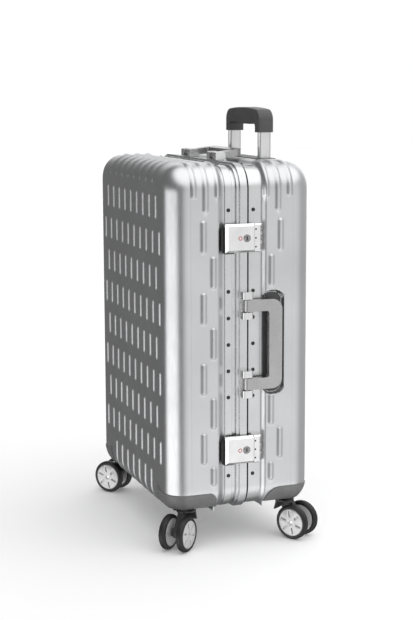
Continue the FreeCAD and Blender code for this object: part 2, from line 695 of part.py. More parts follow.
def corners():
    for name, (side_x, side_y, heading, trail_side) in CASTERS.items():
        guard(name, side_x, side_y)
        caster(name, side_x, side_y, heading, trail_side)


# ---- linings ------------------------------------------------------------------------
def linings():
    cloth = 1.2
    gap = SHELL_WALL + 0.3
    cut_off = box(-300, 300, LID_STEP_OUTER_Y - 1, 300, 0, 800)
    front = skin(
        lid_body(gap).cut(cut_off),
        lid_body(gap + cloth),
        wells(-1, gap),
        wells(-1, gap + cloth),
    )
    add("lining_front", front)

    floor_y = TROLLEY_Y - TUBE_WIDE / 2 - 3.5
    rim_y = BASE_STEP_OUTER_Y + 1
    holes_outer = wells(1, gap) + hand_pockets(gap)
    holes_inner = wells(1, gap + cloth) + hand_pockets(gap + cloth)
    tray = slab(gap, rim_y, floor_y)
    inside = slab(gap + cloth, rim_y - 1, floor_y - cloth)
    add("lining_back", skin(tray, inside, holes_outer, holes_inner))


HINGE_SIDE_Z = (46.0, -46.0, 92.0, -92.0, 231.0, -231.0)
LID_RIVETS = rivet_places(RIVET_LID_Y, STRIP_INSET, HINGE_SIDE_Z)
BASE_RIVETS = rivet_places(RIVET_BASE_Y, STRIP_INSET, HINGE_SIDE_Z)


def main():
    half_shells()
    frames()
    hinges()
    locks()
    handles()
    trolley()
    corners()
    linings()
    os.makedirs("parts", exist_ok=True)
    for name, shape in PARTS.items():
        shape.exportStep(f"parts/{name}.step")
    print(len(PARTS), "nodes")


main()
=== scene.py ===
"""Looks of the aluminium-frame suitcase: ribbed shells, frames, locks, bails, trolley and casters.

Sizes are in millimetres until a mesh is filed, which turns them into metres.
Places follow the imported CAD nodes. +X is the lock side, -Y the lid.
"""
import json
import math

import bmesh
import bpy
import numpy as np
from mathutils import Matrix, Vector


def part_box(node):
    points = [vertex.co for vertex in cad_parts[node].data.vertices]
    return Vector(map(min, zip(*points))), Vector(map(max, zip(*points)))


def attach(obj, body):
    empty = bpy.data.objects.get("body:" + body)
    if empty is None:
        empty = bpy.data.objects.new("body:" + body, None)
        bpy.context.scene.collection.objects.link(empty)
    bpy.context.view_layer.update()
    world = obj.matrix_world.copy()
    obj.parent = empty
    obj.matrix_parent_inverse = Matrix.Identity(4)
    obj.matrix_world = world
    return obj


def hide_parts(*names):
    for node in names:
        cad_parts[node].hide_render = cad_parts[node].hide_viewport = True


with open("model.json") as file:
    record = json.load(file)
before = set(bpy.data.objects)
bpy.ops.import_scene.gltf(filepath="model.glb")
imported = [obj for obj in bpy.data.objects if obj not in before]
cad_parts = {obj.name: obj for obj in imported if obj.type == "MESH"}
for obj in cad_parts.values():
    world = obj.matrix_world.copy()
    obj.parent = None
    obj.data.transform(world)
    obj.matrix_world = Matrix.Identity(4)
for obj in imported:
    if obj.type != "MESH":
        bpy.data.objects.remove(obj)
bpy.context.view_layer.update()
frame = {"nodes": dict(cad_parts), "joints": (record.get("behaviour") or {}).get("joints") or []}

MM = 0.001
NODES = frame["nodes"]


def node_box(*names):
    """Lowest and highest corners of CAD nodes, in millimetres."""
    boxes = [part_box(name) for name in names]
    low = np.min([tuple(item[0]) for item in boxes], axis=0) / MM
    high = np.max([tuple(item[1]) for item in boxes], axis=0) / MM
    return low, high


# ---- driving sizes, in millimetres ----------------------------------------------------
SHELL_LOW, SHELL_HIGH = node_box("shell_front", "shell_back")
HALF_W = SHELL_HIGH[0]
HALF_D = SHELL_HIGH[1]
BOTTOM, TOP = SHELL_LOW[2], SHELL_HIGH[2]
CORNER = 45.0                  # corner radius of the outline seen from the front
EDGE = 36.0                    # rounding between the broad faces and the sides
CORE_X = HALF_W - CORNER
CORE_LOW, CORE_HIGH = BOTTOM + CORNER, TOP - CORNER
WALL_Y = HALF_D - EDGE         # the side walls are flat inside this
WALL = 2.0                     # shell thickness
STRIP_DROP = 4.0               # the riveted strips lie this far below the panels
SHEET = 1.6                    # wall of the frame extrusions
NECK_DROP = STRIP_DROP + SHEET
LID_STEP = (46.0, 31.0)        # where each panel steps down to its strip, as |Y|
BASE_STEP = (45.5, 35.5)
GROOVE = (-17.0, -9.5)
SEAM = node_box("frame_gasket")[0][1]
GASKET = 2.0
MID_Z = float(sum(node_box("side_handle")[i][2] for i in (0, 1))) / 2
WELL_X, WELL_Y, WELL_ROOF = 137.0, 47.0, 75.0

RIB_HEIGHT = 2.3
RIB_PITCH_X = 35.56
RIB_PITCH_Z = 61.0
RIB_LENGTH = 46.9
RIB_TOP = 617.4                # top end of the first full row
BROAD_RIB = 6.0                # half widths
SIDE_RIB = 5.8
SIDE_LENGTH = 57.0
POCKET_DEPTH = 9.0
CREASE_Y = WALL_Y - 2.0        # faint fold where the wall meets the rounding
CREASE_DEPTH = 0.35
QUARTER_TURN = math.pi / 2

RIB_ROWS = 8
LONG_ROW = 10                  # ribs in the even rows; the odd rows have one fewer
EDGE_RIB_Y = 56.0              # ribs rolled over the top and bottom edges end at this |Y|
EDGE_RIB_START = 9.5           # and begin this far past the core at the top
BEZEL_HALF, BEZEL_RIB = 105.0, 40.0   # ribs next to the trolley bezel are this short
LOW_RIB_TOP = 129.4            # top ends of the ribs rolled under the bottom edge
SIDE_TOP_RIBS = ((87.3, 609.5), (66.0, 585.0), (44.3, 608.5))   # |Y| and low end
SIDE_COLUMNS = {-1: (69.8, 52.3), 1: (70.9, 54.2)}              # |Y| of each half's side ribs
SIDE_RIB_TOP = 573.5
SIDE_RIB_ROWS, HANDLE_ROWS = 8, (2, 3, 4)   # the rows behind the side handle are left out
LAST_SIDE_LENGTH = 35.0        # the lowest side rib is cut short by the guard

POCKET_SLOPE = 3.2             # width of a recess's sloping wall
LEAST_GAP = 0.7                # grid lines are never closer than this
LID_RIVET_Y, BASE_RIVET_Y = -23.7, 21.5
DOT_Y, DOT_PITCH = 20.6, 15.0  # index dots beside the three dials
RING_Y = -7.5
SLOT_DEPTH = (1.0, 5.75)       # hub faces at this offset and radius belong to its slots
SLOT_RADIUS = (9.0, 22.5)

FLAT_ANGLE, SHARP_ANGLE = 1.0, 30.0   # degrees: faces merged below, edges rounded above
NOISE_LOW, NOISE_HIGH = 0.3, 0.7      # part of a noise's range that a material uses


# ---- mesh helpers ---------------------------------------------------------------------
def file_mesh(name, bm, material, body, stands_for=(), sharp=32.0):
    """Turn a bmesh in millimetres into a smooth-shaded piece that rides on a body."""
    bmesh.ops.scale(bm, vec=(MM, MM, MM), verts=bm.verts)
    return file_metres(name, bm, material, body, stands_for, sharp)


def file_metres(name, bm, material, body, stands_for=(), sharp=32.0):
    mesh = bpy.data.meshes.new(name)
    bm.to_mesh(mesh)
    bm.free()
    mesh.materials.clear()
    for item in material if isinstance(material, (list, tuple)) else [material]:
        mesh.materials.append(item)
    mesh.shade_smooth()
    mesh.set_sharp_from_angle(angle=math.radians(sharp))
    obj = bpy.data.objects.new(name, mesh)
    bpy.context.collection.objects.link(obj)
    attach(obj, body)
    if stands_for:
        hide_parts(*stands_for)
    return obj


def bm_from(verts, faces):
    mesh = bpy.data.meshes.new("scratch")
    mesh.from_pydata([tuple(map(float, v)) for v in verts], [], faces)
    bm = bmesh.new()
    bm.from_mesh(mesh)
    bpy.data.meshes.remove(mesh)
    return bm


def soft_copy(node, width, segments=2):
    """bmesh of a CAD node with its flats merged and its sharp edges rounded, in metres."""
    bm = bmesh.new()
    bm.from_mesh(NODES[node].data)
    bmesh.ops.remove_doubles(bm, verts=bm.verts, dist=5e-6)
    bmesh.ops.dissolve_limit(
        bm, angle_limit=math.radians(FLAT_ANGLE), verts=bm.verts, edges=bm.edges,
        use_dissolve_boundaries=False,
    )
    bmesh.ops.recalc_face_normals(bm, faces=bm.faces)
    limit = math.radians(SHARP_ANGLE)
    sharp = [
        edge for edge in bm.edges
        if len(edge.link_faces) == 2 and edge.calc_face_angle(0) > limit
    ]
    if width:
        bmesh.ops.bevel(
            bm, geom=sharp, offset=width * MM, offset_type="OFFSET", segments=segments,
            profile=0.5, affect="EDGES", clamp_overlap=True, harden_normals=False,
        )
    return bm


def soften(node, width, material, body, segments=2):
    """A softened piece that stands for one CAD node."""
    piece = file_metres(node + "_soft", soft_copy(node, width, segments), material, body, [node])
    shade = piece.modifiers.new("normals", "WEIGHTED_NORMAL")
    shade.keep_sharp = True
    return piece


def rounded(corners, steps=4):
    """Closed outline from (u, v, radius) corners, each turned into an arc."""
    points = []
    count = len(corners)
    for index, (u, v, radius) in enumerate(corners):
        here = np.array([u, v], float)
        before = np.array(corners[index - 1][:2], float) - here
        after = np.array(corners[(index + 1) % count][:2], float) - here
        if radius <= 0:
            points.append(here)
            continue
        before /= np.linalg.norm(before)
        after /= np.linalg.norm(after)
        half = math.acos(max(-1.0, min(1.0, float(before @ after)))) / 2
        reach = radius / math.tan(half)
        middle = here + (before + after) / np.linalg.norm(before + after) * radius / math.sin(half)
        first, last = here + before * reach, here + after * reach
        for step in range(steps + 1):
            ratio = step / steps
            spoke = (first - middle) * (1 - ratio) + (last - middle) * ratio
            points.append(middle + spoke / np.linalg.norm(spoke) * radius)
    return np.array(points)


def outline_route(turn_steps=18):
    """Stations round the case: base point, direction and the wall's own position."""
    stops = []
    for corner, (x, z) in enumerate(
        ((CORE_X, CORE_HIGH), (-CORE_X, CORE_HIGH), (-CORE_X, CORE_LOW), (CORE_X, CORE_LOW))
    ):
        for step in range(turn_steps + 1):
            angle = (corner + step / turn_steps) * QUARTER_TURN
            stops.append((x, z, math.cos(angle), math.sin(angle)))
    return stops


def swept(profile, stops):
    """Sweep an (out, y) profile round the outline. out is measured from the panels."""
    verts = []
    for x, z, dx, dz in stops:
        for out, y in profile:
            reach = CORNER + out
            verts.append((x + dx * reach, y, z + dz * reach))
    count = len(profile)
    faces = []
    total = len(stops)
    for i in range(total):
        for j in range(count):
            a = i * count + j
            b = i * count + (j + 1) % count
            c = ((i + 1) % total) * count + (j + 1) % count
            d = ((i + 1) % total) * count + j
            faces.append((a, b, c, d))
    bm = bm_from(verts, faces)
    bmesh.ops.recalc_face_normals(bm, faces=bm.faces)
    return bm


def turned(profile, steps, frame_matrix):
    """Revolve (radius, offset) points about the local Z of a matrix. Ends on the axis close."""
    verts = []
    faces = []
    rings = []
    for radius, offset in profile:
        if radius < 1e-6:
            rings.append([len(verts)])
            verts.append((0, 0, offset))
            continue
        ring = []
        for step in range(steps):
            angle = 2 * math.pi * step / steps
            ring.append(len(verts))
            verts.append((radius * math.cos(angle), radius * math.sin(angle), offset))
        rings.append(ring)
    for low, high in zip(rings, rings[1:]):
        for step in range(steps):
            after = (step + 1) % steps
            loop = []
            for index in (low[step % len(low)], low[after % len(low)],
                          high[after % len(high)], high[step % len(high)]):
                if index not in loop:
                    loop.append(index)
            if len(loop) > 2:
                faces.append(tuple(loop))
    bm = bm_from(verts, faces)
    bmesh.ops.transform(bm, matrix=frame_matrix, verts=bm.verts)
    bmesh.ops.recalc_face_normals(bm, faces=bm.faces)
    return bm


def join(parts):
    """Merge several bmeshes into the first."""
    whole = parts[0]
    for part in parts[1:]:
        scratch = bpy.data.meshes.new("scratch")
        part.to_mesh(scratch)
        part.free()
        whole.from_mesh(scratch)
        bpy.data.meshes.remove(scratch)
    return whole


def facing(direction, place):
    """Matrix whose Z points along direction, at place."""
    turn = Vector(direction).to_track_quat("Z", "Y").to_matrix().to_4x4()
    return Matrix.Translation(Vector(place)) @ turn


def ease(value):
    value = np.clip(value, 0.0, 1.0)
    return value * value * (3 - 2 * value)


# ---- materials ------------------------------------------------------------------------
class Recipe:
    """A node material that is written top-down with few words."""

    def __init__(self, name, color, metallic, roughness, **sockets):
        self.material = bpy.data.materials.new(name)
        self.material.use_nodes = True
        self.tree = self.material.node_tree
        self.shader = self.tree.nodes["Principled BSDF"]
        self.shader.inputs["Base Color"].default_value = (*color, 1)
        self.shader.inputs["Metallic"].default_value = metallic
        self.shader.inputs["Roughness"].default_value = roughness
        for socket, value in sockets.items():
            self.shader.inputs[socket.replace("_", " ")].default_value = value
        self.place = self.node("ShaderNodeTexCoord").outputs["Object"]

    def node(self, kind, **fields):
        made = self.tree.nodes.new(kind)
        for key, value in fields.items():
            setattr(made, key, value)
        return made

    def link(self, source, target):
        self.tree.links.new(source, target)

    def stretched(self, scale):
        mapping = self.node("ShaderNodeMapping")
        mapping.inputs["Scale"].default_value = scale
        self.link(self.place, mapping.inputs["Vector"])
        return mapping.outputs["Vector"]

    def noise(self, scale, detail=3.0, stretch=(1, 1, 1)):
        made = self.node("ShaderNodeTexNoise")
        made.inputs["Scale"].default_value = scale
        made.inputs["Detail"].default_value = detail
        self.link(self.stretched(stretch), made.inputs["Vector"])
        return made.outputs["Fac"]

    def ramp(self, source, low, high):
        made = self.node("ShaderNodeValToRGB")
        made.color_ramp.elements[0].position = NOISE_LOW
        made.color_ramp.elements[1].position = NOISE_HIGH
        made.color_ramp.elements[0].color = (*low, 1)
        made.color_ramp.elements[1].color = (*high, 1)
        self.link(source, made.inputs["Fac"])
        return made.outputs["Color"]

    def spread(self, source, low, high):
        made = self.node("ShaderNodeMapRange")
        for key, value in (
            ("From Min", NOISE_LOW), ("From Max", NOISE_HIGH), ("To Min", low), ("To Max", high)
        ):
            made.inputs[key].default_value = value
        self.link(source, made.inputs["Value"])
        return made.outputs["Result"]

    def color(self, source, low, high):
        self.link(self.ramp(source, low, high), self.shader.inputs["Base Color"])

    def roughness(self, source, low, high):
        self.link(self.spread(source, low, high), self.shader.inputs["Roughness"])

    def bump(self, source, height, strength=1.0):
        made = self.node("ShaderNodeBump")
        made.inputs["Distance"].default_value = height * MM
        made.inputs["Strength"].default_value = strength
        self.link(source, made.inputs["Height"])
        self.link(made.outputs["Normal"], self.shader.inputs["Normal"])


def grey(value, warm=0.0):
    return (value * (1 + warm), value, value * (1 - warm))


def make_materials():
    found = {}

    shell = Recipe("shell_metal", grey(0.62, -0.01), 1.0, 0.34)
    grain = shell.noise(900.0, 2.0, (1.0, 1.0, 0.05))
    cloud = shell.noise(9.0, 3.0)
    shell.color(cloud, (0.585, 0.59, 0.60), (0.655, 0.66, 0.668))
    shell.roughness(grain, 0.30, 0.40)
    shell.bump(grain, 0.02, 0.5)
    found["shell"] = shell

    frame_metal = Recipe("anodised_frame", grey(0.62), 1.0, 0.27)
    streak = frame_metal.noise(900.0, 2.0, (0.05, 1.0, 0.05))
    frame_metal.color(frame_metal.noise(14.0), (0.58, 0.585, 0.595), (0.66, 0.665, 0.67))
    frame_metal.roughness(streak, 0.24, 0.32)
    found["frame"] = frame_metal

    rubber = Recipe("seal_rubber", grey(0.004), 0.0, 0.85)
    rubber.color(rubber.noise(60.0), grey(0.003), grey(0.006))
    rubber.bump(rubber.noise(1500.0), 0.02, 0.4)
    found["gasket"] = rubber

    chrome = Recipe("satin_chrome", grey(0.80), 1.0, 0.2)
    chrome.color(chrome.noise(40.0), grey(0.76), grey(0.84))
    chrome.roughness(chrome.noise(800.0, 2.0, (1, 1, 0.06)), 0.15, 0.26)
    chrome.bump(chrome.noise(900.0, 2.0, (1, 1, 0.06)), 0.006, 0.5)
    found["lock"] = chrome

    # key, name, (shade, metallic, roughness), (shade noise, low, high), (roughness noise, low, high)
    for key, name, base, shades, roughs in (
        # rivet: the near-black base colour is painted shade, standing in for the dark surroundings that the
        # chrome heads reflect
        ("rivet", "rivet_metal", (0.05, 1.0, 0.14), (300.0, 0.04, 0.07), (900.0, 0.10, 0.2)),
        ("dial", "dial_metal", (0.4, 1.0, 0.3), (200.0, 0.35, 0.45), (900.0, 0.24, 0.38)),
        ("key", "key_core", (0.3, 1.0, 0.3), (200.0, 0.26, 0.34), (900.0, 0.22, 0.38)),
        ("steel", "turned_steel", (0.66, 1.0, 0.28), (90.0, 0.58, 0.72), (1200.0, 0.2, 0.36)),
        ("lug", "lug_chrome", (0.72, 1.0, 0.24), (40.0, 0.68, 0.76), (60.0, 0.2, 0.28)),
        ("handle", "handle_lacquer", (0.42, 0.9, 0.26), (30.0, 0.4, 0.45), (60.0, 0.24, 0.3)),
    ):
        metal = Recipe(name, grey(base[0]), *base[1:])
        metal.color(metal.noise(shades[0]), grey(shades[1]), grey(shades[2]))
        metal.roughness(metal.noise(roughs[0]), *roughs[1:])
        found[key] = metal

    tube = Recipe("tube_metal", grey(0.72), 1.0, 0.3)
    lines = tube.noise(1100.0, 2.0, (1, 1, 0.02))
    tube.color(tube.noise(20.0), grey(0.69), grey(0.75))
    tube.roughness(lines, 0.24, 0.36)
    tube.bump(lines, 0.008, 0.5)
    found["tube"] = tube

    for key, shade, rough in (("grip", 0.075, 0.42), ("guard", 0.17, 0.4), ("fork", 0.035, 0.34),
                              ("black", 0.008, 0.3), ("button", 0.012, 0.35)):
        plastic = Recipe(key + "_plastic", grey(shade), 0.0, rough)
        plastic.color(plastic.noise(45.0), grey(shade * 0.86), grey(shade * 1.14))
        plastic.roughness(plastic.noise(700.0), rough - 0.05, rough + 0.07)
        plastic.bump(plastic.noise(2200.0, 2.0), 0.02, 0.45)
        found[key] = plastic

    tyre = Recipe("tyre_rubber", grey(0.01), 0.0, 0.5)
    tyre.color(tyre.noise(60.0), grey(0.008), grey(0.016))
    tyre.roughness(tyre.noise(400.0), 0.42, 0.6)
    tyre.bump(tyre.noise(1800.0), 0.02, 0.4)
    found["tyre"] = tyre

    hub = Recipe("hub_lacquer", grey(0.66), 0.35, 0.34)
    hub.color(hub.noise(50.0), grey(0.62), grey(0.70))
    hub.roughness(hub.noise(700.0), 0.28, 0.42)
    hub.bump(hub.noise(2400.0), 0.008, 0.5)
    found["hub"] = hub

    cloth = Recipe("lining_cloth", grey(0.06), 0.0, 0.85, Sheen_Weight=0.35)
    weave = cloth.node("ShaderNodeMath", operation="MULTIPLY")
    for index, direction in enumerate("XZ"):
        threads = cloth.node("ShaderNodeTexWave", wave_type="BANDS", bands_direction=direction)
        threads.inputs["Scale"].default_value = 420.0
        threads.inputs["Distortion"].default_value = 1.2
        cloth.link(cloth.place, threads.inputs["Vector"])
        cloth.link(threads.outputs["Fac"], weave.inputs[index])
    cloth.color(cloth.noise(25.0), grey(0.05), grey(0.075))
    cloth.bump(weave.outputs["Value"], 0.25, 0.6)
    found["cloth"] = cloth

    red = Recipe("mark_red", (0.45, 0.012, 0.012), 0.0, 0.35)
    red.color(red.noise(300.0), (0.40, 0.01, 0.01), (0.52, 0.016, 0.014))
    found["red"] = red

    return {key: recipe.material for key, recipe in found.items()}


M = make_materials()


# ---- ribbed shells --------------------------------------------------------------------
def spread_lines(low, high, marks, widest):
    """Sorted grid lines from low to high through the marks, with no gap over widest."""
    lines = [low]
    for mark in sorted(m for m in marks if low + LEAST_GAP < m < high - LEAST_GAP) + [high]:
        if mark - lines[-1] < LEAST_GAP and mark != high:
            continue
        start = lines[-1]
        pieces = max(1, math.ceil((mark - start) / widest))
        lines.extend(start + (mark - start) * (step + 1) / pieces for step in range(pieces))
    return np.array(lines)


def pills(u, v, ribs, half_width):
    """Height of the pressed ribs at (u, v). Each rib is (u centre, v low, v high)."""
    height = np.zeros(np.broadcast(u, v).shape)
    for centre, low, high in ribs:
        over = np.maximum(np.maximum(low + half_width - v, v - (high - half_width)), 0.0)
        ratio = np.hypot(u - centre, over) / half_width
        height = np.maximum(height, np.clip(1 - ratio ** 2, 0, 1) ** 1.15)
    return height * RIB_HEIGHT


def broad_ribs(sign):
    """(x, low, high) on the broad face, unrolled over its top and bottom edges."""
    ribs = []
    roll = EDGE * QUARTER_TURN + (CORNER - EDGE)
    for row in range(1, RIB_ROWS + 1):
        high = RIB_TOP - RIB_PITCH_Z * (row - 1)
        columns = LONG_ROW - row % 2
        for column in range(columns):
            x = (column - (columns - 1) / 2) * RIB_PITCH_X
            ribs.append((x, high - RIB_LENGTH, high))
    reach = roll + WALL_Y - EDGE_RIB_Y
    for column in range(1, 9):
        x = (column - 4.5) * RIB_PITCH_X
        by_bezel = sign > 0 and abs(x) < BEZEL_HALF
        ribs.append((x, CORE_HIGH + EDGE_RIB_START, CORE_HIGH + (BEZEL_RIB if by_bezel else reach)))
    for column in range(1, 8):
        x = (column - 4) * RIB_PITCH_X
        ribs.append((x, CORE_LOW - reach, LOW_RIB_TOP))
    return ribs


def side_ribs(sign, pocketed):
    """(|y|, low, high) on a side wall, unrolled over the top corner."""
    ribs = []
    over = CORE_HIGH + CORNER * QUARTER_TURN + 16.0
    for y, low in SIDE_TOP_RIBS:
        ribs.append((y, low, over))
    outer, inner = SIDE_COLUMNS[sign]
    for index in range(SIDE_RIB_ROWS):
        high = SIDE_RIB_TOP - RIB_PITCH_Z * index
        if pocketed and index in HANDLE_ROWS:
            continue
        length = LAST_SIDE_LENGTH if index == SIDE_RIB_ROWS - 1 else SIDE_LENGTH
        ribs.append((outer if index % 2 == 0 else inner, high - length, high))
    return ribs


def end_marks(ribs, half_width):
    """Grid lines that catch the round ends of ribs."""
    marks = []
    for _, low, high in ribs:
        for step in range(5):
            marks.append(low + half_width * 1.15 * step / 4)
            marks.append(high - half_width * 1.15 * step / 4)
    return marks


class Pocket:
    """Rounded hand recess in a wall: along is from its middle, y is the world Y."""

    def __init__(self, y0, y1, half_length, radius=17.0):
        self.y0, self.y1, self.half_length, self.radius = y0, y1, half_length, radius

    def mask(self, along, y):
        """1 on the recess floor, falling to 0 over its sloping wall."""
        dy = np.abs(y - (self.y0 + self.y1) / 2) - ((self.y1 - self.y0) / 2 - self.radius)
        da = np.abs(along) - (self.half_length - self.radius)
        outside = np.hypot(np.maximum(dy, 0), np.maximum(da, 0)) + np.minimum(np.maximum(dy, da), 0)
        return ease((self.radius + 0.6 - outside) / POCKET_SLOPE)


SIDE_POCKET = Pocket(BASE_STEP[1] + 3.0, 78.0, 91.0)
TOP_POCKET = Pocket(BASE_STEP[1] + 3.0, 64.0, 74.0, 12.5)


def profile_rows(sign):
    """Rows from the broad face's core to the neck: out, |y|, normal out, normal y, arc length."""
    rows = []
    flat = CORNER - EDGE
    for step in (1, 2):
        rows.append((-CORNER + flat * step / 2, HALF_D, 0.0, 1.0, flat * step / 2))
    turns = 16
    for step in range(1, turns + 1):
        angle = QUARTER_TURN * step / turns
        rows.append((
            -CORNER + flat + EDGE * math.sin(angle), WALL_Y + EDGE * math.cos(angle),
            math.sin(angle), math.cos(angle), flat + EDGE * angle,
        ))
    arc = flat + EDGE * QUARTER_TURN
    step_outer, step_inner = LID_STEP if sign < 0 else BASE_STEP
    creases = [CREASE_Y + d for d in (-1.2, -0.6, 0.0, 0.6, 1.2)]
    for y in spread_lines(step_outer, WALL_Y, creases + [WELL_Y], 2.1)[::-1][1:]:
        crease = CREASE_DEPTH * math.exp(-((y - CREASE_Y) / 0.8) ** 2)
        rows.append((-crease, y, 1.0, 0.0, arc + WALL_Y - y))
    steps = 7
    for step in range(1, steps + 1):
        y = step_outer + (step_inner - step_outer) * step / steps
        drop = NECK_DROP * float(ease(step / steps))
        rows.append((-drop, y, 1.0, 0.0, arc + WALL_Y - y))
    neck = -(GROOVE[0] - 1.2) if sign < 0 else SEAM + GASKET + 1.8
    rows.append((-NECK_DROP, neck, 1.0, 0.0, arc + WALL_Y - neck))
    return np.array(rows)


def case_grid(sign):
    """Grid lines of one half: along X and along Z, closer together where ribs and pockets end."""
    marks = end_marks(broad_ribs(sign), BROAD_RIB) + end_marks(side_ribs(sign, False), SIDE_RIB)
    if sign > 0:
        marks += [MID_Z + s * (SIDE_POCKET.half_length + d) for s in (-1, 1) for d in (-14, -7, -3, -1, 1)]
    zs = spread_lines(CORE_LOW, CORE_HIGH, marks, 9.0)
    columns = [
        k * RIB_PITCH_X / 2 + d
        for k in range(1 - LONG_ROW, LONG_ROW) for d in (-6.4, -4.6, -2.4, 0, 2.4, 4.6, 6.4)
    ]
    xs = spread_lines(-CORE_X, CORE_X, columns + [-WELL_X, WELL_X], 6.0)
    return xs, zs


def outline_stations(xs, zs, turn=14):
    """Stations round a half: x, z, direction, climb up the side wall, column, side, core vertex."""
    nx, nz = len(xs), len(zs)
    quarter = CORNER * QUARTER_TURN
    stations = []

    def corner(x, z, start, climb_at, vertex, side):
        for k in range(1, turn):
            turned_by = QUARTER_TURN * k / turn
            a = start + turned_by
            stations.append((x, z, math.cos(a), math.sin(a), climb_at(turned_by), 0.0, side, vertex))

    for j, z in enumerate(zs):
        stations.append((CORE_X, z, 1, 0, z, 0.0, 0, (nx - 1) * nz + j))
    corner(CORE_X, CORE_HIGH, 0.0, lambda t: CORE_HIGH + CORNER * t, nx * nz - 1, 0)
    for i in range(nx - 1, -1, -1):
        climb = CORE_HIGH + quarter + CORE_X - abs(xs[i])
        stations.append((xs[i], CORE_HIGH, 0, 1, climb, xs[i], 1, i * nz + nz - 1))
    corner(-CORE_X, CORE_HIGH, QUARTER_TURN, lambda t: CORE_HIGH + quarter - CORNER * t, nz - 1, 2)
    for j in range(nz - 1, -1, -1):
        stations.append((-CORE_X, zs[j], -1, 0, zs[j], 0.0, 2, j))
    corner(-CORE_X, CORE_LOW, 2 * QUARTER_TURN, lambda t: CORE_LOW - CORNER * t, 0, 2)
    for i in range(nx):
        climb = CORE_LOW - quarter - CORE_X + abs(xs[i])
        stations.append((xs[i], CORE_LOW, 0, -1, climb, xs[i], 3, i * nz))
    corner(CORE_X, CORE_LOW, 3 * QUARTER_TURN, lambda t: CORE_LOW - quarter + CORNER * t, (nx - 1) * nz, 0)
    return stations


def half_case(sign):
    """Closed bmesh of one pressed half shell, open at its neck and over the caster wells."""
    broad = broad_ribs(sign)
    xs, zs = case_grid(sign)
    nx, nz = len(xs), len(zs)
    stations = outline_stations(xs, zs)
    table = np.array([stop[:6] for stop in stations], float)
    side = np.array([stop[6] for stop in stations])
    rows = profile_rows(sign)

    grid_x, grid_z = np.meshgrid(xs, zs, indexing="ij")
    lift = pills(grid_x, grid_z, broad, BROAD_RIB)

    shape = (len(rows), len(table))
    out = np.broadcast_to(rows[:, 0][:, None], shape).copy()
    y = np.broadcast_to(rows[:, 1][:, None], shape)
    climb = np.broadcast_to(table[:, 4][None, :], shape)
    column = np.broadcast_to(table[:, 5][None, :], shape)
    height = np.zeros(shape)
    on_wall = rows[:, 1] < WALL_Y + 0.1
    for which, pocketed in ((side != 2, sign > 0), (side == 2, False)):
        mask = np.outer(on_wall, which)
        height = np.maximum(height, np.where(mask, pills(y, climb, side_ribs(sign, pocketed), SIDE_RIB), 0))
    on_level = ((side == 1) | (side == 3))[None, :]
    unrolled = np.where(
        (side == 1)[None, :], CORE_HIGH + rows[:, 4][:, None], CORE_LOW - rows[:, 4][:, None]
    )
    height = np.maximum(height, np.where(on_level, pills(column, unrolled, broad, BROAD_RIB), 0))
    if sign > 0:
        beside = np.broadcast_to((table[:, 1] - MID_Z)[None, :], shape)
        for which, pocket, along in ((side == 0, SIDE_POCKET, beside), (side == 1, TOP_POCKET, column)):
            mask = np.where(which[None, :] & on_wall[:, None], pocket.mask(along, y), 0)
            out = out * (1 - mask) - POCKET_DEPTH * mask
            height = height * (1 - mask)

    skins = []
    for depth in (0.0, WALL):
        core = np.stack([grid_x, sign * (HALF_D + lift - depth), grid_z], -1).reshape(-1, 3)
        rise = height - depth
        reach = CORNER + out + rise * rows[:, 2][:, None]
        ring = np.stack([
            table[:, 0] + table[:, 2] * reach,
            sign * (y + rise * rows[:, 3][:, None]),
            table[:, 1] + table[:, 3] * reach,
        ], -1).reshape(-1, 3)
        skins.append(np.concatenate([core, ring]))
    outer = skins[0]

    faces = [
        (i * nz + j, (i + 1) * nz + j, (i + 1) * nz + j + 1, i * nz + j + 1)
        for i in range(nx - 1) for j in range(nz - 1)
    ]
    count = len(table)
    before = [stop[7] for stop in stations]
    for row in range(len(rows)):
        start = nx * nz + row * count
        for k in range(count):
            n = (k + 1) % count
            loop = (before[k], start + k, start + n, before[n])
            faces.append(loop[:3] if before[k] == before[n] else loop)
        before = list(range(start, start + count))

    in_well = ((np.abs(outer[:, 0]) > WELL_X - 0.1) & (np.abs(outer[:, 1]) > WELL_Y - 0.1)
               & (outer[:, 2] < WELL_ROOF + 2.0))
    kept = [loop for loop in faces if not all(in_well[index] for index in loop)]
    open_edges = {}
    for loop in kept:
        for a, b in zip(loop, loop[1:] + loop[:1]):
            if (b, a) in open_edges:
                del open_edges[(b, a)]
            else:
                open_edges[(a, b)] = True
    shift = len(outer)
    inner = [tuple(index + shift for index in reversed(loop)) for loop in kept]
    rims = [(b, a, a + shift, b + shift) for a, b in open_edges]
    bm = bm_from(np.concatenate(skins), kept + inner + rims)
    loose = [vert for vert in bm.verts if not vert.link_faces]
    bmesh.ops.delete(bm, geom=loose, context="VERTS")
    if sign > 0:
        bmesh.ops.reverse_faces(bm, faces=bm.faces)
    return bm


def prism(outline, start, end):
    """Closed bmesh of a plane outline pushed along Z."""
    count = len(outline)
    verts = [(u, v, level) for level in (start, end) for u, v in outline]
    faces = [tuple(range(count)), tuple(range(2 * count - 1, count - 1, -1))]
    faces += [(i, (i + 1) % count, count + (i + 1) % count, count + i) for i in range(count)]
    bm = bm_from(verts, faces)
    bmesh.ops.recalc_face_normals(bm, faces=bm.faces)
    return bm


def well_walls(sign, side):
    """Upright walls of one caster well, from the bottom panel to the guard."""
    x, y = side * WELL_X, sign * WELL_Y
    end_x, end_y = side * (CORE_X + 26.0), sign * (WALL_Y + 18.0)
    inner_x, inner_y = x - side * WALL, y - sign * WALL
    wall = rounded([
        (end_x, y, 0), (x, y, 3.0), (x, end_y, 0), (inner_x, end_y, 0), (inner_x, inner_y, 5.0),
        (end_x, inner_y, 0),
    ], 5)
    return prism(wall, BOTTOM + 0.3, WELL_ROOF)


